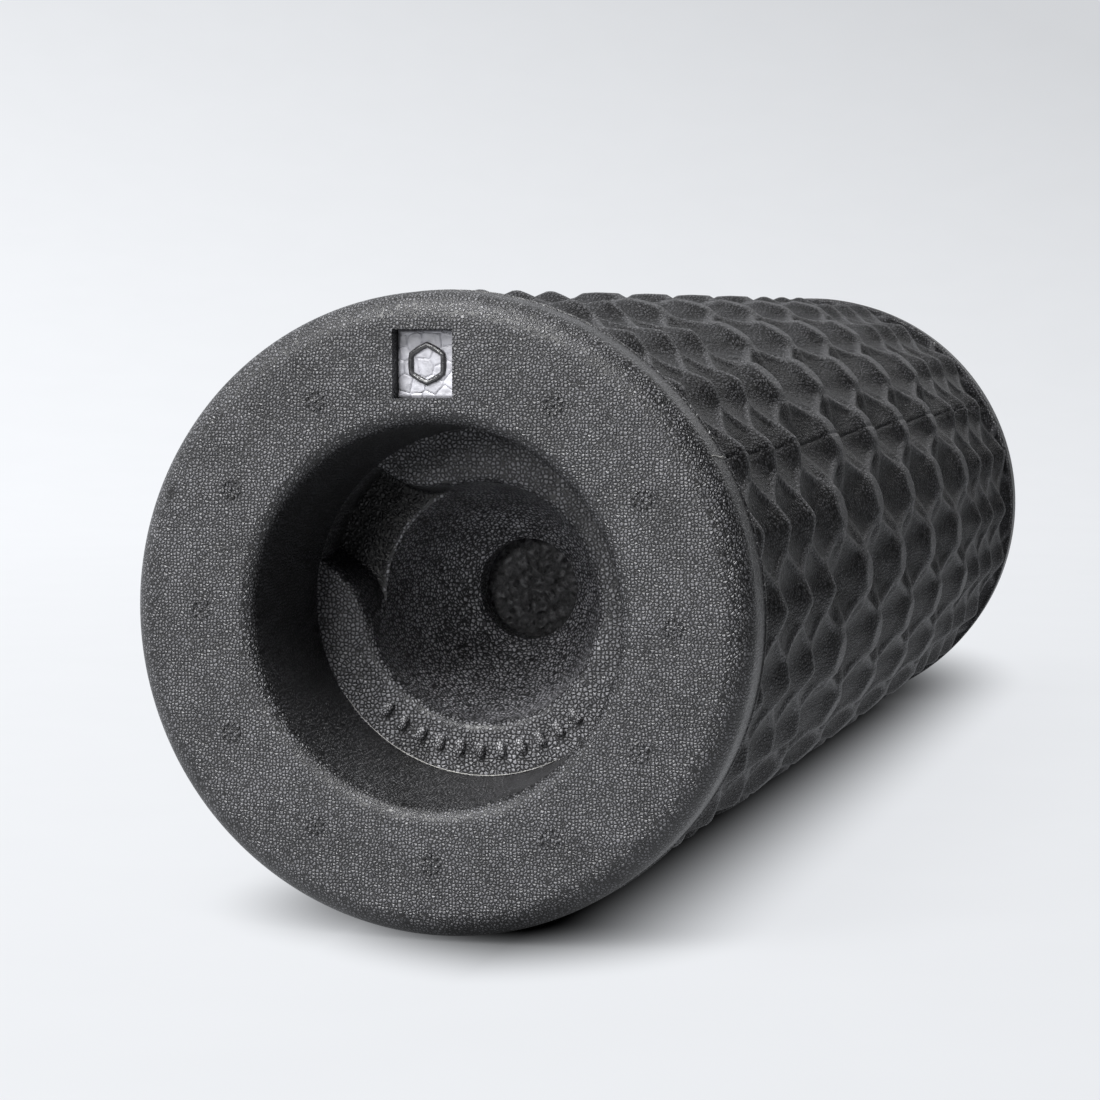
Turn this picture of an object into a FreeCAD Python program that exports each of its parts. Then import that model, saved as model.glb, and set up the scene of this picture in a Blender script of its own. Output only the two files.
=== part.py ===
import FreeCAD, Part
import math
import os

# Massage foam roller, lying on its side.
#
# The roller's axis runs along Y, with the front face at -Y and +Z up. The origin is on the floor,
# under the middle of the roller. All sizes are in millimetres.
#
# The pieces, from outside to inside: two half shells that carry the massage relief, a flanged end
# cap at each end, a cup behind each cap's recess, a solid core between the cups, and a small badge.

# --- driving dimensions ---------------------------------------------------------------------------

LENGTH = 390.0
CREST_RADIUS = 65.0          # over the high points of the relief, which the roller lies on
RING_RADIUS = 64.3           # smooth end rings, held just off the floor by the relief
RING_DEPTH = 13.5            # axial depth of a smooth end ring
EDGE_ROUND = 6.0             # rounding of a ring's outer edge
BORE_RADIUS = 44.0           # bore of the shells, which holds the caps, the cups and the core
FIT_GAP = 0.1                # radial play of what sits in the bore

# Relief: rows parallel to the axis, each with a flat crest at every other station and a pit between.
ROWS = 24
WIDE_STATIONS = 4            # stations on each side of the middle one, at the wide step
WIDE_STEP = 23.2
CHANGE_STEP = 18.7           # the one step between the wide and the close ones
CLOSE_STATIONS = 5           # stations beyond that step, at the close step
CLOSE_STEP = 12.86
WIDE_CREST_HALF = 5.0        # half the length of a crest's flat top, along the axis
CLOSE_CREST_HALF = 1.5
PIT_SLOPE = math.tan(math.radians(17.5))
SADDLE_DROP = 1.2            # how far the relief dips between crests, and at the shells' ends
SEAM_ANGLE = 30.0            # the shells meet at this angle above +X, and opposite it

# Recess in each end, and the cup behind it.
RIM_RADIUS = 38.0
RIM_ROUND = 3.5
RECESS_DEPTH = 32.0
LEDGE_RADIUS = 36.2          # the recess wall's radius where it meets the ledge
POCKET_RADIUS = 25.0
POCKET_ROUND = 2.0
POCKET_DEPTH = 38.0          # of the whole bowl, below the ledge
PEG_HOLE_RADIUS = 11.0
PEG_HOLE_LENGTH = 6.0
SLOT_WIDTH = 22.0
SLOT_DEPTH = 10.0
SLOT_ANGLE = 148.0

# Raised ticks on the front ledge.
TICKS = 11
TICK_RADIUS = 30.5
TICK_FIRST_ANGLE = 228.0
TICK_LAST_ANGLE = 312.0
TICK_SIZE = (1.8, 3.2, 1.0)  # along the ledge, across it, and above it

# Badge let into the front face, near its top.
BADGE_WIDTH = 12.4
BADGE_HEIGHT = 13.6
BADGE_RADIUS = 50.0          # from the axis to the badge's centre
BADGE_ANGLE = 92.0
BADGE_POCKET_DEPTH = 5.0
BADGE_THICKNESS = 1.8
BADGE_PLAY = 0.1
MARK_RADIUS = 3.6            # hexagonal ring raised on the badge
MARK_WIDTH = 1.0
MARK_HEIGHT = 0.5

# --- worked out from them -------------------------------------------------------------------------

HALF_LENGTH = LENGTH / 2
SHELL_HALF_LENGTH = HALF_LENGTH - RING_DEPTH
SADDLE_RADIUS = CREST_RADIUS - SADDLE_DROP
ROW_ANGLE = 360.0 / ROWS
INSERT_RADIUS = BORE_RADIUS - FIT_GAP
PEG_HOLE_TOP = RECESS_DEPTH + POCKET_DEPTH * math.sqrt(1 - (PEG_HOLE_RADIUS / POCKET_RADIUS) ** 2)
CUP_DEPTH = PEG_HOLE_TOP + PEG_HOLE_LENGTH
UP_Y = FreeCAD.Vector(0, 1, 0)
AXIS_POINT = FreeCAD.Vector(0, 0, CREST_RADIUS)


def polar(radius, degrees, y):
    """A point given by its distance from the roller's axis and its angle above +X."""
    angle = math.radians(degrees)
    return FreeCAD.Vector(radius * math.cos(angle), y, CREST_RADIUS + radius * math.sin(angle))


def at_depth(radius, depth):
    """A point beside the axis, on the +X side, at a depth behind the front face."""
    return polar(radius, 0, depth - HALF_LENGTH)


def rod(radius, first_y, last_y):
    start = AXIS_POINT + UP_Y * first_y
    return Part.makeCylinder(radius, last_y - first_y, start, UP_Y)


def turned(edges):
    """The solid that a closed profile beside the axis sweeps around it."""
    return Part.Face(Part.Wire(edges)).revolve(AXIS_POINT, UP_Y, 360)


def line(start, end):
    return Part.LineSegment(start, end).toShape()


def arc(start, middle, end):
    return Part.Arc(start, middle, end).toShape()


def to_rear(shape):
    """The same piece at the other end of the roller."""
    return shape.mirror(AXIS_POINT, UP_Y)


# --- relief ---------------------------------------------------------------------------------------

def stations():
    """The relief's stations from one end to the other: place, half crest length, and number."""
    places = [0.0]
    for _ in range(WIDE_STATIONS):
        places.append(places[-1] + WIDE_STEP)
    places.append(places[-1] + CHANGE_STEP)
    for _ in range(CLOSE_STATIONS):
        places.append(places[-1] + CLOSE_STEP)
    found = []
    for number, place in enumerate(places):
        half = WIDE_CREST_HALF if number <= WIDE_STATIONS else CLOSE_CREST_HALF
        found.append((place, half, number))
        if number > 0:
            found.append((-place, half, number))
    return sorted(found)


STATIONS = stations()


def saddle_places():
    """Where the relief dips between stations, with the shells' two ends."""
    middles = []
    for near, far in zip(STATIONS, STATIONS[1:]):
        middles.append((near[0] + far[0]) / 2)
    return [-SHELL_HALF_LENGTH] + middles + [SHELL_HALF_LENGTH]


SADDLES = saddle_places()


def pit_radius(index):
    """The bottom of a pit, which two slopes down from the crests on each side of it reach."""
    place, half, _ = STATIONS[index]
    before = STATIONS[index - 1][0] if index > 0 else -SHELL_HALF_LENGTH
    after = STATIONS[index + 1][0] if index + 1 < len(STATIONS) else SHELL_HALF_LENGTH
    run = min(place - before, after - place) - half
    return CREST_RADIUS - run * PIT_SLOPE


def row_points(row):
    """A row's centre line, one list of points for each station: two on a crest, one in a pit."""
    angle = SEAM_ANGLE + row * ROW_ANGLE
    line_points = []
    for index, (place, half, number) in enumerate(STATIONS):
        has_crest = (number + row) % 2 == 1
        if has_crest:
            line_points.append([polar(CREST_RADIUS, angle, place - half),
                                polar(CREST_RADIUS, angle, place + half)])
        else:
            line_points.append([polar(pit_radius(index), angle, place)])
    return line_points


def border_points(angle):
    """The line between two rows, which joins the dips."""
    return [polar(SADDLE_RADIUS, angle, place) for place in SADDLES]


def flat_face(points):
    return Part.Face(Part.makePolygon(points + points[:1]))


def strip_faces(row, side):
    """The facets between a row's centre line and its border, on the side +1 or -1."""
    centre_angle = SEAM_ANGLE + row * ROW_ANGLE
    centre = row_points(row)
    border = border_points(centre_angle + side * ROW_ANGLE / 2)
    faces = []
    for index, points in enumerate(centre):
        faces.append(flat_face(points + [border[index + 1], border[index]]))
    for index in range(len(centre) - 1):
        faces.append(flat_face([centre[index][-1], centre[index + 1][0], border[index + 1]]))
    first_end = polar(SADDLE_RADIUS, centre_angle, -SHELL_HALF_LENGTH)
    last_end = polar(SADDLE_RADIUS, centre_angle, SHELL_HALF_LENGTH)
    faces.append(flat_face([first_end, centre[0][0], border[0]]))
    faces.append(flat_face([centre[-1][-1], last_end, border[-1]]))
    return faces


def seam_line(row):
    """The whole outline of a shell along one of its seams, from -Y to +Y."""
    angle = SEAM_ANGLE + row * ROW_ANGLE
    points = [polar(SADDLE_RADIUS, angle, -SHELL_HALF_LENGTH)]
    for group in row_points(row):
        points.extend(group)
    points.append(polar(SADDLE_RADIUS, angle, SHELL_HALF_LENGTH))
    return points


def half_shell(first_row):
    """Half the relief, from one seam to the other, with the bore cut out of it."""
    last_row = first_row + ROWS // 2
    faces = []
    for row in range(first_row, last_row):
        faces.extend(strip_faces(row, 1))
        faces.extend(strip_faces(row + 1, -1))
    faces.append(flat_face(seam_line(first_row) + seam_line(last_row)[::-1]))
    for end in (-SHELL_HALF_LENGTH, SHELL_HALF_LENGTH):
        corners = []
        for half_row in range(2 * first_row, 2 * last_row + 1):
            corners.append(polar(SADDLE_RADIUS, SEAM_ANGLE + half_row * ROW_ANGLE / 2, end))
        faces.append(flat_face(corners))
    block = Part.Solid(Part.makeShell(faces))
    if block.Volume < 0:
        block.reverse()
    return block.cut(rod(BORE_RADIUS, -HALF_LENGTH, HALF_LENGTH))


# --- end pieces, all made at the front ------------------------------------------------------------

def end_cap():
    """A smooth ring with a sleeve behind it, whose inside is the wall of the recess."""
    slant = math.sqrt(0.5)
    rim_start = at_depth(RIM_RADIUS, RIM_ROUND)
    rim_middle = at_depth(RIM_RADIUS + RIM_ROUND * (1 - slant), RIM_ROUND * (1 - slant))
    rim_end = at_depth(RIM_RADIUS + RIM_ROUND, 0)
    edge_start = at_depth(RING_RADIUS - EDGE_ROUND, 0)
    edge_middle = at_depth(RING_RADIUS - EDGE_ROUND * (1 - slant), EDGE_ROUND * (1 - slant))
    edge_end = at_depth(RING_RADIUS, EDGE_ROUND)
    ring_back = at_depth(RING_RADIUS, RING_DEPTH)
    sleeve_root = at_depth(INSERT_RADIUS, RING_DEPTH)
    sleeve_end = at_depth(INSERT_RADIUS, RECESS_DEPTH)
    wall_end = at_depth(LEDGE_RADIUS, RECESS_DEPTH)
    return turned([
        arc(rim_start, rim_middle, rim_end),
        line(rim_end, edge_start),
        arc(edge_start, edge_middle, edge_end),
        line(edge_end, ring_back),
        line(ring_back, sleeve_root),
        line(sleeve_root, sleeve_end),
        line(sleeve_end, wall_end),
        line(wall_end, rim_start),
    ])


def slot():
    """The finger slot across the ledge, from the pocket to the recess wall."""
    length = LEDGE_RADIUS + 1
    corner = AXIS_POINT + FreeCAD.Vector(0, RECESS_DEPTH - HALF_LENGTH, -SLOT_WIDTH / 2)
    block = Part.makeBox(length, SLOT_DEPTH, SLOT_WIDTH, corner)
    block.rotate(AXIS_POINT, UP_Y, -SLOT_ANGLE)
    inside = rod(LEDGE_RADIUS, RECESS_DEPTH - HALF_LENGTH, RECESS_DEPTH + SLOT_DEPTH - HALF_LENGTH)
    return block.common(inside)


def cup():
    """The ledge at the bottom of the recess, the round pocket in it, and the hole in its end."""
    slant = math.sqrt(0.5)
    bowl_angle = math.radians(32)
    mouth_start = at_depth(POCKET_RADIUS + POCKET_ROUND, RECESS_DEPTH)
    mouth_middle = at_depth(POCKET_RADIUS + POCKET_ROUND * (1 - slant),
                            RECESS_DEPTH + POCKET_ROUND * (1 - slant))
    mouth_end = at_depth(POCKET_RADIUS, RECESS_DEPTH + POCKET_ROUND)
    bowl_middle = at_depth(POCKET_RADIUS * math.cos(bowl_angle),
                           RECESS_DEPTH + POCKET_DEPTH * math.sin(bowl_angle))
    hole_top = at_depth(PEG_HOLE_RADIUS, PEG_HOLE_TOP)
    hole_end = at_depth(PEG_HOLE_RADIUS, CUP_DEPTH)
    back = at_depth(INSERT_RADIUS, CUP_DEPTH)
    front = at_depth(INSERT_RADIUS, RECESS_DEPTH)
    body = turned([
        line(front, mouth_start),
        arc(mouth_start, mouth_middle, mouth_end),
        arc(mouth_end, bowl_middle, hole_top),
        line(hole_top, hole_end),
        line(hole_end, back),
        line(back, front),
    ])
    return body.cut(slot())


def ledge_tick(degrees):
    along, across, height = TICK_SIZE
    root = 0.4
    corner = FreeCAD.Vector(TICK_RADIUS - across / 2, RECESS_DEPTH - height - HALF_LENGTH,
                            CREST_RADIUS - along / 2)
    block = Part.makeBox(across, height + root, along, corner)
    block.rotate(AXIS_POINT, UP_Y, -degrees)
    return block


def front_cup():
    """The front cup, whose ledge carries an arc of raised ticks."""
    shape = cup()
    step = (TICK_LAST_ANGLE - TICK_FIRST_ANGLE) / (TICKS - 1)
    for index in range(TICKS):
        shape = shape.fuse(ledge_tick(TICK_FIRST_ANGLE + index * step))
    return shape.Solids[0]


def badge_block(width, height, first_depth, last_depth):
    """A block behind the front face, centred on the badge."""
    centre = polar(BADGE_RADIUS, BADGE_ANGLE, first_depth - HALF_LENGTH)
    corner = centre - FreeCAD.Vector(width / 2, 0, height / 2)
    return Part.makeBox(width, last_depth - first_depth, height, corner)


def hexagon(radius, first_depth, last_depth):
    centre = polar(BADGE_RADIUS, BADGE_ANGLE, first_depth - HALF_LENGTH)
    corners = []
    for index in range(6):
        angle = math.radians(60 * index + 30)
        corners.append(centre + FreeCAD.Vector(radius * math.cos(angle), 0, radius * math.sin(angle)))
    return flat_face(corners).extrude(UP_Y * (last_depth - first_depth))


def badge():
    """A smooth tile with a raised hexagonal ring."""
    front = BADGE_POCKET_DEPTH - BADGE_THICKNESS
    tile = badge_block(BADGE_WIDTH - 2 * BADGE_PLAY, BADGE_HEIGHT - 2 * BADGE_PLAY,
                       front, BADGE_POCKET_DEPTH)
    ring = hexagon(MARK_RADIUS, front - MARK_HEIGHT, front)
    ring = ring.cut(hexagon(MARK_RADIUS - MARK_WIDTH, front - MARK_HEIGHT, front))
    return tile.fuse(ring).Solids[0]


def front_cap():
    return end_cap().cut(badge_block(BADGE_WIDTH, BADGE_HEIGHT, 0, BADGE_POCKET_DEPTH))


def core():
    half = HALF_LENGTH - CUP_DEPTH
    return rod(INSERT_RADIUS, -half, half)


# --- writing the pieces ---------------------------------------------------------------------------

PIECES = {
    "upper_shell": half_shell(0),
    "lower_shell": half_shell(ROWS // 2),
    "front_end_cap": front_cap(),
    "rear_end_cap": to_rear(end_cap()),
    "front_cup": front_cup(),
    "rear_cup": to_rear(cup()),
    "foam_core": core(),
    "front_badge": badge(),
}

os.makedirs("parts", exist_ok=True)
for name, shape in PIECES.items():
    solid = shape.Solids[0] if shape.ShapeType == "Compound" else shape
    assert solid.isValid() and len(shape.Solids) == 1, name
    solid.exportStep(f"parts/{name}.step")
    print(name, len(solid.Faces), "faces", round(solid.Volume / 1000, 1), "cm3")
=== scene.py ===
import math

import bmesh
import bpy
import numpy as np
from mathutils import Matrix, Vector, noise


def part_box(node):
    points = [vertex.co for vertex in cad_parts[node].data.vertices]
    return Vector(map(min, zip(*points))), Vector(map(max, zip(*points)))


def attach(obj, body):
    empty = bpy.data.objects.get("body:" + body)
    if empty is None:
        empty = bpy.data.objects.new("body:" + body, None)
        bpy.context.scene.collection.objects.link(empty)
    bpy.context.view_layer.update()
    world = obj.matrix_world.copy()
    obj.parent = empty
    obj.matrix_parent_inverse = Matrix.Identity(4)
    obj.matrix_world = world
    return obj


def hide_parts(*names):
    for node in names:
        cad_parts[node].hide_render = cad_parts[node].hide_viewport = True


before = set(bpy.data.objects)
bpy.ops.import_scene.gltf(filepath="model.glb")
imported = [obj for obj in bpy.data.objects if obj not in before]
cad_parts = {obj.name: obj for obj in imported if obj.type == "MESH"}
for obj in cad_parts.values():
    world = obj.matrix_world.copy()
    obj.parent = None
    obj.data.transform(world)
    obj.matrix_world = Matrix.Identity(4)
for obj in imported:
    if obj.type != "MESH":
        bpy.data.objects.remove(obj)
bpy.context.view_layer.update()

# The looks of a massage foam roller. Its axis runs along Y and its front face is at -Y. Shapes are
# worked out in millimetres and become metres when their meshes are made.

MM = 0.001


def box_mm(node):
    low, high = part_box(node)
    return low / MM, high / MM


# --- sizes that come from the frame -----------------------------------------------------------------

CAP_LOW, CAP_HIGH = box_mm("front_end_cap")
CORE_HIGH = box_mm("foam_core")[1]
BADGE_LOW, BADGE_HIGH = box_mm("front_badge")
AXIS_HEIGHT = (CAP_LOW.z + CAP_HIGH.z) / 2
RING_RADIUS = (CAP_HIGH.x - CAP_LOW.x) / 2
HALF_LENGTH = -CAP_LOW.y
RECESS_DEPTH = CAP_HIGH.y - CAP_LOW.y
SHELL_HALF_LENGTH = box_mm("upper_shell")[1].y
RING_DEPTH = HALF_LENGTH - SHELL_HALF_LENGTH
INSERT_RADIUS = CORE_HIGH.x
CORE_HALF_LENGTH = CORE_HIGH.y
CUP_DEPTH = HALF_LENGTH - CORE_HALF_LENGTH

# --- other driving sizes, in millimetres and degrees ------------------------------------------------

CREST_RADIUS = 64.7
BORE_RADIUS = 44.0
FLOOR_HEIGHT = 0.3           # the softened crests end this far inside the CAD crests

ROWS = 24
ROW_ANGLE = 360.0 / ROWS
SEAM_ANGLE = 30.0
SEAM_GROOVE = 0.3            # depth of the parting line between the two shells
WIDE_STATIONS = 4
WIDE_STEP = 23.2
CHANGE_STEP = 18.7           # between the last wide crests and the first close ones
CLOSE_STATIONS = 5
CLOSE_STEP = 12.86
BEYOND_END = 6.0             # the pattern runs on this far past the shells' ends
END_FADE = 3.0               # within this length of an end the relief flattens
END_HEIGHT = 0.35            # down to this share of its depth

JUNCTION = 5.0               # from a crest's middle to its end, around the roller
RIDGE_HALF = 0.75            # half the width of a ridge's flat top
RIDGE_SIDE = 1.3             # slope of a ridge's sides
RIDGE_LIP = 0.6              # how far the ridges stand above the hollows' rims
RIDGE_BLEND = 0.25           # height over which a ridge's side runs into the hollow
RIDGE_SHEEN_WIDTH = 0.9             # width of the strip of painted sheen beside a ridge's top
RIDGE_REACH = 10.0           # a ridge shapes the relief this far past its ends, along the axis
RIDGE_REACH_ANGLE = 8.0      # and this far around the roller
CREST_LIP = 0.25             # how far the crests stand above the hollows' rims
CREST_SIDE = 0.5             # slope of a crest's sides
CREST_BULGE = 0.12           # how far a crest bows up, as a share of its end's drop
HOLLOW_SOFTNESS = 1.4        # the hollows are smoothed by this width before the ridges rise
RELIEF_SOFTNESS = 0.33       # and all of it by this width afterwards

STEPS_PER_ROW = 20           # points of the relief around one row
PLACE_STEPS = 412            # and along the axis
BORE_STEPS = 24
TURN_STEPS = 288             # points around each turned piece

RIM_RADIUS = 38.0
RIM_ROUND = 3.5
WALL_EDGE = RIM_RADIUS + 0.5  # painted shade darkens the cap's foam from here inwards
EDGE_ROUND = 6.0
LEDGE_RADIUS = 36.2
LEDGE_GAP = 0.08             # from the ledge's edge to the recess wall's foot
POCKET_RADIUS = 25.0
POCKET_ROUND = 2.0
POCKET_DEPTH = 38.0          # of the whole bowl, below the ledge
PEG_HOLE_RADIUS = 11.0
PEG_HOLE_ROUND = 0.6
SLOT_WIDTH = 22.0
SLOT_DEPTH = 10.0
SLOT_ANGLE = 148.0
SLOT_FILLET = 7.0            # where the slot opens into the pocket
SLOT_SHOULDER = 1.1          # half the width of its softened edge

FLASH_WIDTH = 0.7
FLASH_HEIGHT = 0.3
FLASH_GAP = 0.05             # between the ring's flash line and the ring's back
FLASH_TIP = 0.15             # half the width of its flat top, as a share of its width
LEDGE_FLASH_ANGLES = (214.0, 298.0)
LEDGE_FLASH_INSET = 0.25     # from the ledge's edge
LEDGE_FLASH_LIFT = 0.08      # above the ledge
FLECK_START = 4.6            # depth behind the front face where the seam's fleck begins
FLECK_LENGTH = RING_DEPTH - 5.0  # it ends just short of the ring's back

TICKS = 11
TICK_RADIUS = 30.5
TICK_FIRST_ANGLE = 228.0
TICK_LAST_ANGLE = 312.0
TICK_SIZE = (2.1, 1.25, 3.4)  # along the ledge, above it, and across it
BASE_SINK = 0.3              # ticks and dots start this far below the surface that they stand on

VENT_RADIUS = 49.0
VENT_MARKS = 12
VENT_FIRST_ANGLE = -0.5
VENT_DOTS = 8                # around the middle dot
VENT_DOT_RADIUS = 0.5
VENT_DOT_SPREAD = 1.75

TEAR_RADII = (13.0, 20.0)    # the core's end is torn out to the first, and smooth past the second
TEAR_STEP = 0.35
TEAR_SIZE = 0.55             # frequency of the tears, per millimetre
TEAR_DEPTH = 1.1
TEAR_BASE = 0.5

BADGE_ANGLE = 90.0           # the badge stands in for the vent mark nearest to this angle
BADGE_GAP = 0.1              # around the badge in its pocket
BADGE_BEAD = 3.3
MARK_HEIGHT = 0.5
MARK_RADIUS = 3.8
MARK_TUBE = MARK_HEIGHT + 0.12

# --- stage, in metres -------------------------------------------------------------------------------

COVE_RADIUS = 2.6
COVE_BEND = 1.7
COVE_HEIGHT = 3.2
COVE_GLOW = 0.945
SHADED_SIDE = 0.05           # share of the glow that the cove's right side gives to the object
SHADED_FRONT = 0.15          # and its front part
CONTACT_CORE = 0.018         # half the width of the black middle of the contact shadow
CONTACT_EDGE = 0.064         # where the contact shadow ends, to each side


# --- meshes -----------------------------------------------------------------------------------------

def polar(radius, degrees, y):
    """A point given by its distance from the roller's axis and its angle above +X."""
    angle = math.radians(degrees)
    return (radius * math.cos(angle), y, AXIS_HEIGHT + radius * math.sin(angle))


def new_piece(name, points, faces, crease=40.0):
    """A closed, smooth-shaded piece from points in millimetres, sharp where faces meet steeply."""
    mesh = bpy.data.meshes.new(name)
    mesh.from_pydata((np.asarray(points, float) * MM).tolist(), [], faces)
    edit = bmesh.new()
    edit.from_mesh(mesh)
    bmesh.ops.recalc_face_normals(edit, faces=edit.faces)
    edit.to_mesh(mesh)
    edit.free()
    finish_shading(mesh, crease)
    piece = bpy.data.objects.new(name, mesh)
    bpy.context.scene.collection.objects.link(piece)
    return piece


def finish_shading(mesh, crease):
    mesh.polygons.foreach_set("use_smooth", np.ones(len(mesh.polygons), bool))
    mesh.set_sharp_from_angle(angle=math.radians(crease))
    mesh.update()


def set_attribute(piece, name, values):
    attribute = piece.data.attributes.new(name, "FLOAT", "POINT")
    attribute.data.foreach_set("value", np.asarray(values, np.float32))


def grid_faces(rows, columns, wrap_rows=False, wrap_columns=False, first=0):
    """Quads that join a grid of points, stored row after row from the index first."""
    faces = []
    for i in range(rows if wrap_rows else rows - 1):
        this_row = first + i * columns
        next_row = first + (i + 1) % rows * columns
        for j in range(columns if wrap_columns else columns - 1):
            k = (j + 1) % columns
            faces.append((this_row + j, next_row + j, next_row + k, this_row + k))
    return faces


def add_rings(points, faces, rings):
    """Adds a closed solid: rings of points, one after the other, with both its ends capped."""
    first = len(points)
    sides = len(rings[0])
    for ring in rings:
        points.extend(ring)
    faces.extend(grid_faces(len(rings), sides, wrap_columns=True, first=first))
    faces.append(list(range(first, first + sides)))
    faces.append(list(range(len(points) - sides, len(points))))


def arc(centre, radius, start, end, steps):
    """Points (radius from the axis, depth) along an arc, at angles in degrees."""
    found = []
    for angle in np.linspace(start, end, steps + 1):
        turn = math.radians(angle)
        found.append((centre[0] + radius * math.cos(turn), centre[1] - radius * math.sin(turn)))
    return found


def turned_piece(name, profile, side, crease=40.0, shape=None):
    """A closed profile of (radius, depth) swept around the axis at the front, -1, or the rear, +1."""
    points = []
    for degrees in np.arange(TURN_STEPS) * 360.0 / TURN_STEPS:
        for radius, depth in profile:
            if shape:
                depth = shape(radius, depth, degrees)
            points.append(polar(radius, degrees, side * (HALF_LENGTH - depth)))
    faces = grid_faces(TURN_STEPS, len(profile), wrap_rows=True, wrap_columns=True)
    return new_piece(name, points, faces, crease)


def smoothstep(value, low, high):
    t = min(max((value - low) / (high - low), 0.0), 1.0)
    return t * t * (3 - 2 * t)


# --- relief -----------------------------------------------------------------------------------------

ANGLE_STEPS = ROWS * STEPS_PER_ROW
ANGLE_STEP = 360.0 / ANGLE_STEPS
PLACE_STEP = 2 * SHELL_HALF_LENGTH / PLACE_STEPS
PLACES = np.linspace(-SHELL_HALF_LENGTH, SHELL_HALF_LENGTH, PLACE_STEPS + 1)
ARC_PER_DEGREE = math.radians(CREST_RADIUS)
JUNCTION_ANGLE = JUNCTION / ARC_PER_DEGREE
TINY = 1e-6


class Station:
    """A place along the axis where every other row has a crest, and how that crest is shaped."""

    def __init__(self, place, number):
        wide = number <= WIDE_STATIONS
        self.place = place
        self.number = number
        self.crest_half = 4.3 if wide else 0.9  # half a crest's width along the axis, in its middle
        self.end_half = 2.6 if wide else 0.6    # and at its ends
        self.end_drop = 1.0 if wide else 1.7    # how far a crest's ends lie below its middle
        self.slant_drop = 1.6 if wide else 2.2  # how far down the ridges between crests sink
        self.pit_drop = 5.4 if wide else 4.0    # and the bottoms of the hollows


def all_stations():
    places = [0.0]
    for step in [WIDE_STEP] * WIDE_STATIONS + [CHANGE_STEP] + [CLOSE_STEP] * CLOSE_STATIONS:
        places.append(places[-1] + step)
    found = []
    for number, place in enumerate(places):
        found.append(Station(place, number))
        if number:
            found.append(Station(-place, number))
    beyond = len(places)
    for end in (-1, 1):
        found.append(Station(end * (SHELL_HALF_LENGTH + BEYOND_END), beyond))
    return sorted(found, key=lambda station: station.place)


class Relief:
    """Heights above the crests' radius, by angle from the seam and by place along the axis."""

    def __init__(self):
        self.height = np.full((ANGLE_STEPS, PLACE_STEPS + 1), -1.0)
        self.ridge = np.zeros_like(self.height)

    def lay_facet(self, corners):
        """Sets the heights inside a triangle of (place, angle, height)."""
        place, angle, height = np.array(corners, float).T
        column = (place + SHELL_HALF_LENGTH) / PLACE_STEP
        row = angle / ANGLE_STEP
        rows = np.arange(math.ceil(row.min() - TINY), math.floor(row.max() + TINY) + 1)
        columns = np.arange(max(math.ceil(column.min() - TINY), 0),
                            min(math.floor(column.max() + TINY), PLACE_STEPS) + 1)
        area = ((row[1] - row[2]) * (column[0] - column[2])
                + (column[2] - column[1]) * (row[0] - row[2]))
        if not len(rows) or not len(columns) or abs(area) < TINY / 1000:
            return
        y, x = np.meshgrid(rows, columns, indexing="ij")
        first = ((row[1] - row[2]) * (x - column[2]) + (column[2] - column[1]) * (y - row[2])) / area
        second = ((row[2] - row[0]) * (x - column[2]) + (column[0] - column[2]) * (y - row[2])) / area
        third = 1 - first - second
        inside = (first > -TINY) & (second > -TINY) & (third > -TINY)
        value = first * height[0] + second * height[1] + third * height[2]
        self.height[y[inside] % ANGLE_STEPS, x[inside]] = value[inside]

    def raise_ridge(self, start, end, halves, sag, side_slope):
        """A flat-topped ridge between two points of (place, angle, height)."""
        along = np.array([end[0] - start[0], (end[1] - start[1]) * ARC_PER_DEGREE])
        columns = np.where((PLACES > min(start[0], end[0]) - RIDGE_REACH)
                           & (PLACES < max(start[0], end[0]) + RIDGE_REACH))[0]
        if not len(columns):
            return
        low = min(start[1], end[1]) - RIDGE_REACH_ANGLE
        high = max(start[1], end[1]) + RIDGE_REACH_ANGLE
        rows = np.arange(int(low / ANGLE_STEP), int(high / ANGLE_STEP) + 1)
        u = PLACES[columns][None, :] - start[0]
        v = ((rows * ANGLE_STEP)[:, None] - start[1]) * ARC_PER_DEGREE
        t = np.clip((u * along[0] + v * along[1]) / (along @ along), 0, 1)
        from_line = np.hypot(u - t * along[0], v - t * along[1])
        beyond = np.maximum(from_line - (halves[0] * (1 - t) + halves[1] * t), 0)
        raised = start[2] * (1 - t) + end[2] * t - sag * 4 * t * (1 - t) - side_slope * beyond
        cells = np.ix_(rows % ANGLE_STEPS, columns)
        before = self.height[cells]
        gap = np.maximum(RIDGE_BLEND - np.abs(before - raised), 0)
        self.height[cells] = np.maximum(before, raised) + gap ** 2 / (4 * RIDGE_BLEND)
        # the ridge mask: where the foam gets a lighter colour, a painted sheen
        mark = np.clip(1 - beyond / RIDGE_SHEEN_WIDTH, 0, 1)
        self.ridge[cells] = np.maximum(self.ridge[cells], mark)

    def soften(self, width):
        self.height = blurred(self.height, width)
        self.ridge = blurred(self.ridge, width)


def kernel(sigma):
    reach = max(1, math.ceil(3 * sigma))
    x = np.arange(-reach, reach + 1)
    weights = np.exp(-x * x / (2 * sigma * sigma))
    return weights / weights.sum()


def blurred(field, width):
    """The field smoothed both ways, by the same width in millimetres."""
    around = kernel(width / (ARC_PER_DEGREE * ANGLE_STEP))
    along = kernel(width / PLACE_STEP)
    result = np.zeros_like(field)
    for offset, weight in enumerate(around):
        result += weight * np.roll(field, offset - len(around) // 2, 0)
    padded = np.pad(result, ((0, 0), (len(along) // 2, len(along) // 2)), "edge")
    result = np.zeros_like(field)
    for offset, weight in enumerate(along):
        result += weight * padded[:, offset:offset + field.shape[1]]
    return result


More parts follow.
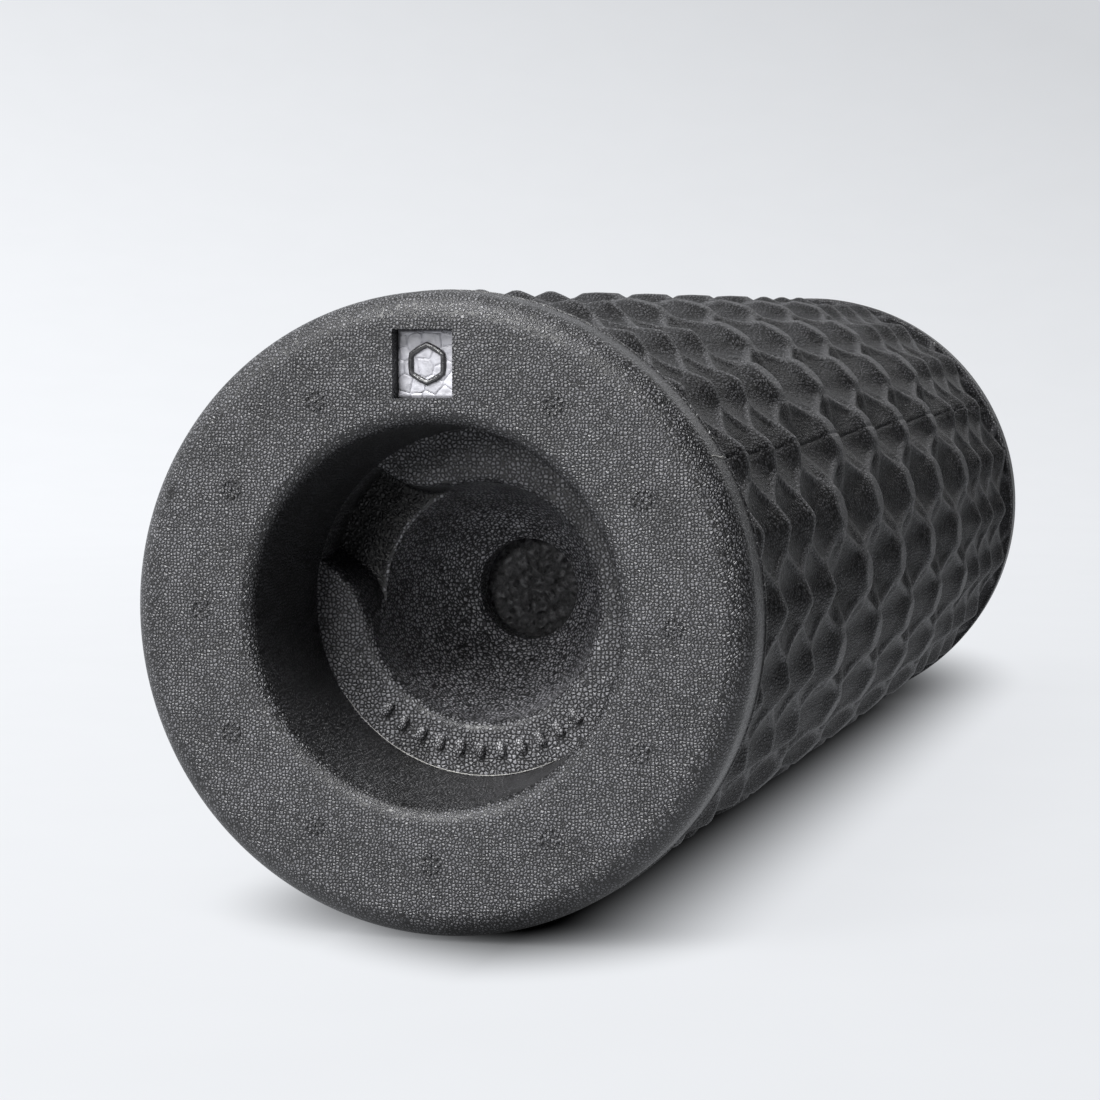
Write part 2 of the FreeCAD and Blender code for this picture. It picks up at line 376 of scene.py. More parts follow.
def lay_hollow(relief, row, near, far):
    """The facets of a row between two stations: from the crest at one to the pit at the other."""
    angle = row * ROW_ANGLE
    crest, pit = (near, far) if (near.number + row) % 2 == 1 else (far, near)
    way = 1 if pit.place > crest.place else -1
    crest_end = -crest.end_drop - RIDGE_LIP
    pit_end = -pit.end_drop - RIDGE_LIP
    slant = -max(crest.slant_drop, pit.slant_drop) - RIDGE_LIP
    bottom = (pit.place, angle, -(crest.pit_drop + pit.pit_drop) / 2)
    for side in (-1, 1):
        end_angle = angle + side * JUNCTION_ANGLE
        next_angle = angle + side * (ROW_ANGLE - JUNCTION_ANGLE)
        top = (crest.place, angle, -CREST_LIP)
        top_edge = (crest.place + way * crest.crest_half, angle, -CREST_LIP)
        end = (crest.place, end_angle, crest_end)
        end_edge = (crest.place + way * crest.end_half, end_angle, crest_end)
        middle = ((crest.place + pit.place) / 2, angle + side * ROW_ANGLE / 2, slant)
        next_edge = (pit.place - way * pit.end_half, next_angle, pit_end)
        next_end = (pit.place, next_angle, pit_end)
        relief.lay_facet([top, top_edge, end_edge])
        relief.lay_facet([top, end_edge, end])
        relief.lay_facet([top_edge, end_edge, bottom])
        relief.lay_facet([end_edge, middle, bottom])
        relief.lay_facet([middle, next_edge, bottom])
        relief.lay_facet([next_edge, next_end, bottom])


def raise_crest(relief, row, station):
    angle = row * ROW_ANGLE
    halves = (station.crest_half, station.end_half)
    bulge = CREST_BULGE * station.end_drop
    for side in (-1, 1):
        end = (station.place, angle + side * JUNCTION_ANGLE, -station.end_drop)
        relief.raise_ridge((station.place, angle, 0.0), end, halves, -bulge, CREST_SIDE)


def raise_slant(relief, row, near, far):
    """The ridge from this row's crest to the next row's, between two neighbouring stations."""
    low = row * ROW_ANGLE + JUNCTION_ANGLE
    high = (row + 1) * ROW_ANGLE - JUNCTION_ANGLE
    if (near.number + row) % 2 == 0:
        low, high = high, low
    start = (near.place, low, -near.end_drop)
    end = (far.place, high, -far.end_drop)
    sag = max(near.slant_drop, far.slant_drop) - (near.end_drop + far.end_drop) / 2
    relief.raise_ridge(start, end, (RIDGE_HALF, RIDGE_HALF), sag, RIDGE_SIDE)


def make_relief():
    relief = Relief()
    found = all_stations()
    for row in range(ROWS):
        for near, far in zip(found, found[1:]):
            lay_hollow(relief, row, near, far)
    relief.height = blurred(relief.height, HOLLOW_SOFTNESS)
    for row in range(ROWS):
        for near, far in zip(found, found[1:]):
            raise_slant(relief, row, near, far)
        for station in found:
            if (station.number + row) % 2 == 1:
                raise_crest(relief, row, station)
    relief.soften(RELIEF_SOFTNESS)
    to_end = np.clip((SHELL_HALF_LENGTH - np.abs(PLACES)) / END_FADE, 0, 1)
    relief.height *= END_HEIGHT + (1 - END_HEIGHT) * to_end
    for seam in (0, ANGLE_STEPS // 2):
        relief.height[seam] -= SEAM_GROOVE
    return relief


def half_shell(name, relief, first_step):
    """Half the relief as one closed piece, from one seam to the other, open along its bore."""
    steps = np.arange(first_step, first_step + ANGLE_STEPS // 2 + 1)
    angles = np.radians(SEAM_ANGLE + steps * ANGLE_STEP)[:, None]
    radius = CREST_RADIUS + relief.height[steps % ANGLE_STEPS]
    x = radius * np.cos(angles)
    z = AXIS_HEIGHT + radius * np.sin(angles)
    y = np.broadcast_to(PLACES, x.shape)
    points = np.stack([x, y, z], -1).reshape(-1, 3).tolist()
    rows, columns = x.shape
    faces = grid_faces(rows, columns)
    bore = len(points)
    first_angle = SEAM_ANGLE + first_step * ANGLE_STEP
    for degrees in np.linspace(first_angle, first_angle + 180, BORE_STEPS + 1):
        for end in (-SHELL_HALF_LENGTH, SHELL_HALF_LENGTH):
            points.append(polar(BORE_RADIUS, degrees, end))
    faces.extend(grid_faces(BORE_STEPS + 1, 2, first=bore))
    last_row = (rows - 1) * columns
    last_bore = bore + 2 * BORE_STEPS
    faces.append([*range(columns), bore + 1, bore])
    faces.append([*range(last_row, last_row + columns), last_bore + 1, last_bore])
    near_rim = [row * columns for row in range(rows)]
    far_rim = [row * columns + columns - 1 for row in range(rows)]
    near_bore = [bore + 2 * step for step in range(BORE_STEPS, -1, -1)]
    faces.append(near_rim + near_bore)
    faces.append(far_rim + [index + 1 for index in near_bore])
    piece = new_piece(name, points, faces, crease=75.0)
    ridge = np.zeros(len(points))
    ridge[:bore] = relief.ridge[steps % ANGLE_STEPS].reshape(-1)
    set_attribute(piece, "ridge", ridge)
    return piece


# --- end caps, cups and core ------------------------------------------------------------------------

def cap_profile():
    flash_middle = RING_DEPTH - FLASH_WIDTH / 2 - FLASH_GAP
    flash_top = RING_RADIUS + FLASH_HEIGHT
    profile = [(LEDGE_RADIUS, RECESS_DEPTH)]
    profile += arc((RIM_RADIUS + RIM_ROUND, RIM_ROUND), RIM_ROUND, 180, 90, 10)
    profile += arc((RING_RADIUS - EDGE_ROUND, EDGE_ROUND), EDGE_ROUND, 90, 0, 12)
    profile += [
        (RING_RADIUS, flash_middle - FLASH_WIDTH / 2),
        (flash_top, flash_middle - FLASH_WIDTH * FLASH_TIP),
        (flash_top, flash_middle + FLASH_WIDTH * FLASH_TIP),
        (RING_RADIUS, flash_middle + FLASH_WIDTH / 2),
        (RING_RADIUS, RING_DEPTH),
        (INSERT_RADIUS, RING_DEPTH),
        (INSERT_RADIUS, RECESS_DEPTH),
    ]
    return profile


def end_cap(name, side):
    """A smooth ring with a flash line round its back, and a sleeve that is the recess's wall."""
    profile = cap_profile()
    piece = turned_piece(name, profile, side)
    painted_sheen = []
    sunk = []
    for radius, _ in profile:
        # the flash bead gets painted sheen
        painted_sheen.append(1.0 if radius > RING_RADIUS + FLASH_HEIGHT / 2 else 0.0)
        # the recess wall gets painted shade
        sunk.append(0.5 if radius < WALL_EDGE else 0.0)
    set_attribute(piece, "ridge", np.tile(painted_sheen, TURN_STEPS))
    set_attribute(piece, "sunk", np.tile(sunk, TURN_STEPS))
    return piece


def cut_badge_pocket(cap):
    """Cuts the badge's square pocket into the front cap."""
    low = Vector((BADGE_LOW.x - BADGE_GAP, -HALF_LENGTH - 1.0, BADGE_LOW.z - BADGE_GAP)) * MM
    high = Vector((BADGE_HIGH.x + BADGE_GAP, BADGE_HIGH.y, BADGE_HIGH.z + BADGE_GAP)) * MM
    edit = bmesh.new()
    bmesh.ops.create_cube(edit, size=1.0)
    for corner in edit.verts:
        for axis in range(3):
            corner.co[axis] = high[axis] if corner.co[axis] > 0 else low[axis]
    mesh = bpy.data.meshes.new("pocket_cutter")
    edit.to_mesh(mesh)
    edit.free()
    cutter = bpy.data.objects.new("pocket_cutter", mesh)
    bpy.context.scene.collection.objects.link(cutter)
    modifier = cap.modifiers.new("pocket", "BOOLEAN")
    modifier.operation = "DIFFERENCE"
    modifier.solver = "EXACT"
    modifier.object = cutter
    apply_modifiers(cap)
    bpy.data.objects.remove(cutter)
    finish_shading(cap.data, 40.0)


def apply_modifiers(piece):
    shown = piece.evaluated_get(bpy.context.evaluated_depsgraph_get())
    piece.data = bpy.data.meshes.new_from_object(shown)
    piece.modifiers.clear()


def cup_profile():
    hole_top = math.degrees(math.acos(PEG_HOLE_RADIUS / POCKET_RADIUS))
    profile = [(INSERT_RADIUS, RECESS_DEPTH), (LEDGE_RADIUS + LEDGE_GAP, RECESS_DEPTH)]
    for radius in np.linspace(LEDGE_RADIUS, POCKET_RADIUS + POCKET_ROUND, 12):
        profile.append((radius, RECESS_DEPTH))
    for angle in np.linspace(0, 90, 9)[1:]:
        turn = math.radians(angle)
        profile.append((POCKET_RADIUS + POCKET_ROUND * (1 - math.sin(turn)),
                        RECESS_DEPTH + POCKET_ROUND * (1 - math.cos(turn))))
    first = math.degrees(math.asin(POCKET_ROUND / POCKET_DEPTH))
    for angle in np.linspace(first, hole_top, 26)[1:]:
        turn = math.radians(angle)
        profile.append((POCKET_RADIUS * math.cos(turn),
                        RECESS_DEPTH + POCKET_DEPTH * math.sin(turn)))
    top = profile[-1][1]
    profile[-1] = (PEG_HOLE_RADIUS + 0.5, top - 0.25)
    edge_middle = (PEG_HOLE_RADIUS + PEG_HOLE_ROUND, top + PEG_HOLE_ROUND)
    profile += arc(edge_middle, PEG_HOLE_ROUND, 120, 180, 3)
    profile += [(PEG_HOLE_RADIUS, top + 3), (PEG_HOLE_RADIUS, CUP_DEPTH)]
    profile.append((INSERT_RADIUS, CUP_DEPTH))
    return profile


def slotted(radius, depth, degrees):
    """The depth once the finger slot is cut across the ledge, with round shoulders."""
    if radius > LEDGE_RADIUS + LEDGE_GAP / 2 or depth > RECESS_DEPTH + SLOT_DEPTH:
        return depth
    turn = math.radians(degrees - SLOT_ANGLE)
    to_slot = max(abs(radius * math.sin(turn)) - SLOT_WIDTH / 2, -radius * math.cos(turn))
    if to_slot > SLOT_FILLET:
        return depth
    to_pocket = radius - POCKET_RADIUS
    reach = max(SLOT_FILLET - abs(to_slot - to_pocket), 0)
    inside = min(to_slot, to_pocket) - reach * reach / (4 * SLOT_FILLET)
    share = 1 - smoothstep(inside, -SLOT_SHOULDER, SLOT_SHOULDER)
    share *= 1 - smoothstep(to_slot, SLOT_FILLET / 2, SLOT_FILLET)
    return max(depth, RECESS_DEPTH + SLOT_DEPTH * share)


def cup(name, side):
    """A bowl with a ledge round it. Painted shade makes the slot darker than the ledge, and painted
    light makes the bowl paler.
    """
    profile = cup_profile()
    piece = turned_piece(name, profile, side, crease=50.0, shape=slotted)
    sunk = []
    for degrees in np.arange(TURN_STEPS) * 360.0 / TURN_STEPS:
        for radius, depth in profile:
            # sunk is painted shade in the slot and painted light in the bowl
            in_slot = (slotted(radius, depth, degrees) - depth) / SLOT_DEPTH
            in_bowl = smoothstep(depth, RECESS_DEPTH + 1, RECESS_DEPTH + 8)
            sunk.append(in_slot - in_bowl if radius < INSERT_RADIUS else 0.0)
    set_attribute(piece, "sunk", sunk)
    return piece


def ledge_ticks():
    """An arc of raised ticks on the front ledge, each a small block with a domed top."""
    along, height, across = TICK_SIZE
    levels = [(1.0, -BASE_SINK), (1.0, 0.35 * height), (0.86, 0.8 * height), (0.55, height)]
    corners = 16
    points = []
    faces = []
    for degrees in np.linspace(TICK_FIRST_ANGLE, TICK_LAST_ANGLE, TICKS):
        turn = math.radians(degrees)
        out = Vector((math.cos(turn), 0, math.sin(turn)))
        around = Vector((-math.sin(turn), 0, math.cos(turn)))
        centre = Vector((0, RECESS_DEPTH - HALF_LENGTH, AXIS_HEIGHT)) + out * TICK_RADIUS
        rings = []
        for share, level in levels:
            ring = []
            for corner in range(corners):
                phase = 2 * math.pi * (corner + 0.5) / corners
                u = round_square(math.cos(phase)) * along / 2 * share
                v = round_square(math.sin(phase)) * (across / 2 - along / 2 * (1 - share))
                ring.append(centre + around * u + out * v + Vector((0, -level, 0)))
            rings.append(ring)
        add_rings(points, faces, rings)
    return new_piece("front_ledge_ticks", points, faces, crease=60.0)


def round_square(value):
    """Pushes points of a circle towards a square with rounded corners."""
    return math.copysign(abs(value) ** 0.6, value)


def vent_marks(name, side, angles):
    """Rings of raised dots on an end face, where the mould was vented."""
    points = []
    faces = []
    for degrees in angles:
        middle = Vector(polar(VENT_RADIUS, degrees, side * HALF_LENGTH))
        add_dome(points, faces, middle, side)
        for dot in range(VENT_DOTS):
            turn = math.radians(360.0 / VENT_DOTS * dot + degrees)
            place = Vector((math.cos(turn), 0, math.sin(turn))) * VENT_DOT_SPREAD
            add_dome(points, faces, middle + place, side)
    return new_piece(name, points, faces, crease=80.0)


def add_dome(points, faces, centre, side):
    """A low round dot that stands out of an end face."""
    steps = 10
    rings = []
    for share, level in [(1.0, -BASE_SINK), (1.0, 0.0), (0.8, 0.2), (0.4, 0.3)]:
        ring = []
        for step in range(steps):
            turn = 2 * math.pi * step / steps
            radius = VENT_DOT_RADIUS * share
            offset = Vector((radius * math.cos(turn), side * level, radius * math.sin(turn)))
            ring.append(centre + offset)
        rings.append(ring)
    add_rings(points, faces, rings)


def core():
    """The solid core, with torn foam on its two ends."""
    radii = [INSERT_RADIUS, 36, 28, 20, 16, 14] + list(np.arange(12.5, 0.3, -TEAR_STEP))
    torn_radius, smooth_radius = TEAR_RADII
    steps = 180
    points = []
    faces = []
    for side in (-1, 1):
        first = len(points)
        for radius in radii:
            for step in range(steps):
                x, y, z = polar(radius, 360.0 * step / steps, side * CORE_HALF_LENGTH)
                torn = noise.fractal(Vector((x, side * 40, z)) * TEAR_SIZE, 1.0, 2.1, 4)
                sunk = TEAR_DEPTH * abs(torn) + TEAR_BASE
                sunk *= smoothstep(-radius, -smooth_radius, -torn_radius)
                points.append((x, y - side * sunk, z))
        faces.extend(grid_faces(len(radii), steps, wrap_columns=True, first=first))
        last = first + (len(radii) - 1) * steps
        faces.append(list(range(last, last + steps)))
    rear = len(radii) * steps
    for step in range(steps):
        following = (step + 1) % steps
        faces.append((step, following, rear + following, rear + step))
    return new_piece("foam_core_body", points, faces, crease=60.0)


# --- badge ------------------------------------------------------------------------------------------

def badge_tile():
    """A smooth tile of large fused beads: a grid that sinks a little along the beads' borders."""
    low = Vector((BADGE_LOW.x, BADGE_LOW.y + MARK_HEIGHT, BADGE_LOW.z))
    high = BADGE_HIGH
    columns, rows = 66, 72
    groove_size = 0.22
    rounding_size = 0.3
    wave_size = 0.1
    rng = np.random.default_rng(11)
    beads = []
    for i in range(-1, 6):
        for j in range(-1, 8):
            shift = 0.5 * (j % 2)
            offset = rng.uniform(-0.32, 0.32, 2)
            beads.append((low.x + (i + shift + offset[0]) * BADGE_BEAD,
                          low.z + (j + offset[1]) * BADGE_BEAD * 0.87))
    beads = np.array(beads)
    tones = rng.uniform(0, 1, len(beads))
    points = []
    shades = []
    for z in np.linspace(low.z, high.z, rows):
        for x in np.linspace(low.x, high.x, columns):
            distance = np.hypot(beads[:, 0] - x, beads[:, 1] - z)
            nearest = np.argsort(distance)[:2]
            border = distance[nearest[1]] - distance[nearest[0]]
            groove = groove_size * math.exp(-(border / groove_size) ** 2)
            edge = min(x - low.x, high.x - x, z - low.z, high.z - z)
            rounding = rounding_size * (1 - smoothstep(edge, 0, 0.5))
            wave = wave_size * (1 + noise.noise(Vector((x, 0, z)) * 0.7))
            points.append((x, low.y + groove + rounding + wave, z))
            shades.append(0.25 + 0.75 * tones[nearest[0]] * min(border / 0.3, 1))
    rim = list(range(columns))
    rim += [row * columns + columns - 1 for row in range(1, rows)]
    rim += [(rows - 1) * columns + column for column in range(columns - 2, -1, -1)]
    rim += [row * columns for row in range(rows - 2, 0, -1)]
    back = len(points)
    faces = grid_faces(rows, columns)
    for index in rim:
        points.append((points[index][0], high.y, points[index][2]))
        shades.append(0.5)
    for index, corner in enumerate(rim):
        following = (index + 1) % len(rim)
        faces.append((corner, rim[following], back + following, back + index))
    faces.append(list(range(back, len(points))))
    piece = new_piece("front_badge_tile", points, faces)
    set_attribute(piece, "tone", shades)
    return piece


def badge_mark():
    """A hexagonal ring of round section with soft corners, half sunk in the tile."""
    middle = Vector(((BADGE_LOW.x + BADGE_HIGH.x) / 2, BADGE_LOW.y + MARK_HEIGHT + 0.15,
                     (BADGE_LOW.z + BADGE_HIGH.z) / 2))
    steps, sides = 96, 12
    hexagon_share = 0.72
    circle = 0.93
    points = []
    for step in range(steps):
        degrees = 360.0 * step / steps
        off_flat = math.radians((degrees % 60) - 30)
        hexagon = math.cos(math.radians(30)) / math.cos(off_flat)
        radius = MARK_RADIUS * (hexagon_share * hexagon + (1 - hexagon_share) * circle)
        turn = math.radians(degrees + 30)
        out = Vector((math.cos(turn), 0, math.sin(turn)))
        for side in range(sides):
            phase = 2 * math.pi * side / sides
            points.append(middle + out * (radius + MARK_TUBE * math.cos(phase))
                          + Vector((0, MARK_TUBE * math.sin(phase), 0)))
    faces = grid_faces(steps, sides, wrap_rows=True, wrap_columns=True)
    return new_piece("front_badge_mark", points, faces, crease=80.0)


# --- moulding flash ---------------------------------------------------------------------------------

def seam_fleck():
    """The sliver left on the seam, along the side of the front ring."""
    sides = 8
    rings = []
    for t in np.linspace(0, 1, 17):
        depth = FLECK_START + FLECK_LENGTH * t
        off_edge = max(EDGE_ROUND - depth, 0.0)
        on_ring = RING_RADIUS - EDGE_ROUND + math.sqrt(EDGE_ROUND ** 2 - off_edge ** 2)
        radius = on_ring + 0.1
        degrees = SEAM_ANGLE + 0.4 - 0.8 * t + 0.1 * math.sin(9 * t)
        girth = 0.04 + 0.13 * math.sin(math.pi * min(max(t, 0.02), 0.98)) ** 0.7
        ring = []
        for side in range(sides):
            phase = 2 * math.pi * side / sides
            turn = math.degrees(girth * math.cos(phase) / radius)
            ring.append(polar(radius + 0.8 * girth * math.sin(phase), degrees + turn,
                              depth - HALF_LENGTH))
        rings.append(ring)
    points = []
    faces = []
    add_rings(points, faces, rings)
    return new_piece("seam_fleck", points, faces, crease=80.0)


def ledge_flash():
    """A fine raised line along the foot of the recess's wall, thickest in its middle."""
    sides = 6
    first, last = LEDGE_FLASH_ANGLES
    rings = []
    for t in np.linspace(0, 1, 90):
        degrees = first + (last - first) * t
        girth = 0.03 + 0.09 * math.sin(math.pi * t) ** 0.5 * (0.8 + 0.2 * math.sin(37 * t))
        ring = []
        for side in range(sides):
            phase = 2 * math.pi * side / sides
            depth = RECESS_DEPTH - LEDGE_FLASH_LIFT - girth * math.sin(phase)
            ring.append(polar(LEDGE_RADIUS - LEDGE_FLASH_INSET + girth * math.cos(phase), degrees,
                              depth - HALF_LENGTH))
        rings.append(ring)
    points = []
    faces = []
    add_rings(points, faces, rings)
    return new_piece("front_ledge_flash", points, faces, crease=80.0)


# --- materials --------------------------------------------------------------------------------------

NOISE_RANGE = (0.3, 0.7)     # most of a noise texture's values lie between these


class Material:
    """A Principled material, with short ways to add nodes and join them."""

    def __init__(self, name, constants=None):
        self.material = bpy.data.materials.new(name)
        self.material.use_nodes = True
        self.tree = self.material.node_tree
        self.shader = self.tree.nodes["Principled BSDF"]
        for socket, value in (constants or {}).items():
            self.shader.inputs[socket].default_value = value

    def node(self, kind, inputs=None, **settings):
        made = self.tree.nodes.new("ShaderNode" + kind)
        for key, value in settings.items():
            setattr(made, key, value)
        for socket, value in (inputs or {}).items():
            self.feed(value, made.inputs[socket])
        return made

    def feed(self, value, socket):
        if isinstance(value, bpy.types.NodeSocket):
            self.tree.links.new(value, socket)
        else:
            socket.default_value = value

    def math(self, operation, first, second=0.0):
        return self.node("Math", {0: first, 1: second}, operation=operation).outputs[0]

    def spread(self, value, low, high, to_low, to_high, curve="LINEAR"):
        """The value mapped from one range to another, and kept inside it."""
        inputs = {"Value": value, "From Min": low, "From Max": high,
                  "To Min": to_low, "To Max": to_high}
        return self.node("MapRange", inputs, interpolation_type=curve).outputs[0]

    def vary(self, noise, to_low, to_high):
        return self.spread(noise, *NOISE_RANGE, to_low, to_high)

    def length(self, vector):
        return self.node("VectorMath", {0: vector}, operation="LENGTH").outputs["Value"]

    def along(self, vector, direction):
        inputs = {0: vector, 1: direction}
        return self.node("VectorMath", inputs, operation="DOT_PRODUCT").outputs["Value"]

    def position(self):
        return self.node("TexCoord").outputs["Object"]

    def noise(self, size_mm, detail=2.0, rough=0.5):
        inputs = {"Vector": self.position(), "Scale": 1 / (size_mm * MM), "Detail": detail,
                  "Roughness": rough}
        return self.node("TexNoise", inputs).outputs["Fac"]

    def beads(self, size_mm, randomness=0.85):
        """Domes packed side by side: 0 in the gaps between them and 1 at their tops."""
        inputs = {"Vector": self.position(), "Scale": 1 / (size_mm * MM),
                  "Randomness": randomness}
        cells = self.node("TexVoronoi", inputs, feature="DISTANCE_TO_EDGE")
        return self.spread(cells.outputs["Distance"], 0.0, 0.38, 0.0, 1.0, "SMOOTHERSTEP")

    def bump(self, height, depth_mm, below=None):
        made = self.node("Bump", {"Height": height, "Distance": depth_mm * MM, "Strength": 1.0})
        if below:
            self.feed(below, made.inputs["Normal"])
        return made.outputs["Normal"]

    def scaled(self, colour, factor):
        inputs = {"Vector": colour, "Scale": factor}
        return self.node("VectorMath", inputs, operation="SCALE").outputs[0]

    def mix(self, share, first, second):
        first_colour, second_colour = 6, 7
        made = self.node("Mix", data_type="RGBA")
        self.feed(share, made.inputs["Factor"])
        self.feed(first, made.inputs[first_colour])
        self.feed(second, made.inputs[second_colour])
        return made.outputs[2]


def foam(name, colour, bead_mm, depth_mm, painted_sheen=None, rough=(0.34, 0.5), patch_mm=6.0, shine=0.5):
    """Moulded bead foam: small domes with painted shade in the gaps, soft patches of tone, painted
    sheen on ridges.
    """
    made = Material(name, {"Specular IOR Level": shine})
    # painted shade darkens the gaps between the beads
    painted_gap_shade, top_tone = 0.08, 1.45
    bowl_painted_light, slot_painted_shade = 1.9, 0.1
    dome = made.beads(bead_mm)
    patches = made.noise(patch_mm, 3.0, 0.6)
    tone = made.math("MULTIPLY", made.spread(dome, 0.0, 0.9, painted_gap_shade, top_tone),
                     made.vary(patches, 0.66, 1.38))
    # sunk paints shade in the recess wall and slot, and paints light in the bowl
    sunk = made.node("Attribute", attribute_name="sunk").outputs["Fac"]
    tone = made.math("MULTIPLY", tone, made.spread(sunk, -1.0, 1.0, bowl_painted_light, slot_painted_shade))
    base = made.scaled(colour, tone)
    # painted sheen: the foam is lighter along the ridges and on the end ring's flash bead
    if painted_sheen:
        ridge = made.node("Attribute", attribute_name="ridge").outputs["Fac"]
        sheen_tone = made.scaled(painted_sheen, made.spread(dome, 0.0, 0.9, 0.35, 1.25))
        base = made.mix(made.spread(ridge, 0.15, 1.0, 0.0, 1.0), base, sheen_tone)
    made.feed(base, made.shader.inputs["Base Color"])
    made.feed(made.vary(made.noise(0.5, 2.0), *rough), made.shader.inputs["Roughness"])
    waves = made.bump(patches, 0.35)
    grain = made.bump(made.noise(0.3, 2.0), 0.05, waves)
    made.feed(made.bump(dome, depth_mm, grain), made.shader.inputs["Normal"])
    return made.material


def cut_foam():
    """Foam torn open: coarse open cells and pale streaks."""
    made = Material("cut_foam")
    cells = made.beads(2.4, 1.0)
    shreds = made.noise(1.3, 5.0, 0.7)
    tone = made.math("MULTIPLY", made.spread(shreds, 0.35, 0.65, 0.3, 1.9),
                     made.spread(cells, 0.0, 0.8, 0.5, 1.3))
    made.feed(made.scaled((0.085, 0.085, 0.088), tone), made.shader.inputs["Base Color"])
    made.feed(made.vary(shreds, 0.45, 0.7), made.shader.inputs["Roughness"])
    torn = made.bump(shreds, 0.9)
    made.feed(made.bump(cells, 0.5, torn), made.shader.inputs["Normal"])
    return made.material


def badge_foam():
    """Large fused beads, pressed smooth and slightly shiny."""
    made = Material("badge_foam")
    tone = made.node("Attribute", attribute_name="tone").outputs["Fac"]
    creases = made.noise(2.2, 4.0, 0.6)
    shade = made.math("MULTIPLY", made.spread(tone, 0, 1, 0.72, 1.15),
                      made.vary(creases, 0.8, 1.2))
    made.feed(made.scaled((0.42, 0.42, 0.455), shade), made.shader.inputs["Base Color"])
    made.feed(made.vary(creases, 0.3, 0.45), made.shader.inputs["Roughness"])
    made.feed(made.bump(creases, 0.25), made.shader.inputs["Normal"])
    return made.material


def mark_gloss():
    """The mark's melted, shiny skin."""
    made = Material("mark_gloss", {"Specular IOR Level": 0.9})
    streaks = made.noise(0.8, 3.0)
    made.feed(made.scaled((0.03, 0.03, 0.032), made.vary(streaks, 0.7, 1.5)),
              made.shader.inputs["Base Color"])
    made.feed(made.vary(streaks, 0.14, 0.24), made.shader.inputs["Roughness"])
    made.feed(made.bump(streaks, 0.08), made.shader.inputs["Normal"])
    return made.material


def flash_pale():
    """Thin flash, stretched pale."""
    made = Material("flash_pale")
    streaks = made.noise(0.6, 3.0)
    made.feed(made.scaled((0.34, 0.335, 0.32), made.vary(streaks, 0.6, 1.3)),
              made.shader.inputs["Base Color"])
    made.feed(made.vary(streaks, 0.35, 0.6), made.shader.inputs["Roughness"])
    made.feed(made.bump(streaks, 0.1), made.shader.inputs["Normal"])
    return made.material


def contact_mask(made, x, y):
    """0 in the middle of the object's contact shadow and 1 outside it.

    The shadow runs along the roller. It narrows near the front end, sooner on the left than on the
    right, and fades slowly behind the rear end.
    """
    front_start = made.spread(x, -0.02, 0.015, -0.148, -0.166)
    rear_start = 0.21
    front_rate = 0.95
    rear_rate = 0.37
    past_front = made.math("MAXIMUM", made.math("SUBTRACT", front_start, y), 0.0)
    past_rear = made.math("MAXIMUM", made.math("SUBTRACT", y, rear_start), 0.0)
    past_end = made.math("ADD", made.math("MULTIPLY", past_front, front_rate),
                         made.math("MULTIPLY", past_rear, rear_rate))
    from_contact = made.node("CombineXYZ", {"X": x, "Y": past_end}).outputs[0]
    return made.spread(made.length(from_contact), CONTACT_CORE, CONTACT_EDGE, 0.0, 1.0, "SMOOTHSTEP")


def cove_shade(made, point, x):
    """1 where the camera sees the cove. Its light on the object is less from the right and front."""
    left_rear = (-0.906, 0.423, 0.0)
    rear = (-0.28, 0.96, 0.0)
    side = made.math("MULTIPLY",
                     made.spread(made.along(point, left_rear), -0.5, -0.26, SHADED_SIDE, 1.0),
                     made.spread(x, 0.25, 0.7, 1.0, SHADED_SIDE))
    front = made.spread(made.along(point, rear), -0.6, -0.31, SHADED_FRONT, 1.0)
    seen = made.node("LightPath").outputs["Is Camera Ray"]
    return made.math("MAXIMUM", made.math("MULTIPLY", side, front), seen)


def studio_white():
    """The cove: matt and softly glowing, but dark in the object's contact shadow."""
    made = Material("studio_white", {
        "Base Color": (0.03, 0.0305, 0.031, 1),
        "Roughness": 0.9,
        "Specular IOR Level": 0.1,
        "Emission Strength": COVE_GLOW,
    })
    point = made.position()
    x, y = made.node("SeparateXYZ", {"Vector": point}).outputs[:2]
    near = made.spread(made.length(point), 0.3, 1.6, 0.99, 1.0)
    up_and_right = made.spread(made.along(point, (1.0, 0.0, 2.5)), -0.6, 0.8, 1.0, 0.7)
    grain = made.vary(made.noise(40.0, 2.0), 0.995, 1.005)
    glow = made.math("MULTIPLY", made.math("MULTIPLY", near, up_and_right), grain)
    glow = made.math("MULTIPLY", glow, cove_shade(made, point, x))
    glow = made.math("MULTIPLY", glow, contact_mask(made, x, y))
    made.feed(made.scaled((0.945, 0.965, 1.0), glow), made.shader.inputs["Emission Color"])
    return made.material


# --- stage, light and camera ------------------------------------------------------------------------

def cove():
    """A round seamless cove: a floor that curves up into a wall on every side."""
    profile = [(0.0, 0.0), (0.3, 0.0), (0.6, 0.0)]
    for angle in np.linspace(0, 90, 16):
        turn = math.radians(angle)
        profile.append((COVE_RADIUS - COVE_BEND + COVE_BEND * math.sin(turn),
                        COVE_BEND * (1 - math.cos(turn))))
    profile.append((COVE_RADIUS, COVE_HEIGHT))
    steps = 72
    points = []
    for step in range(steps):
        turn = 2 * math.pi * step / steps
        for radius, height in profile:
            points.append((radius * math.cos(turn) / MM, radius * math.sin(turn) / MM,
                           height / MM + FLOOR_HEIGHT))
    piece = new_piece("cove", points, grid_faces(steps, len(profile), wrap_rows=True), 80.0)
    piece.data.materials.append(studio_white())


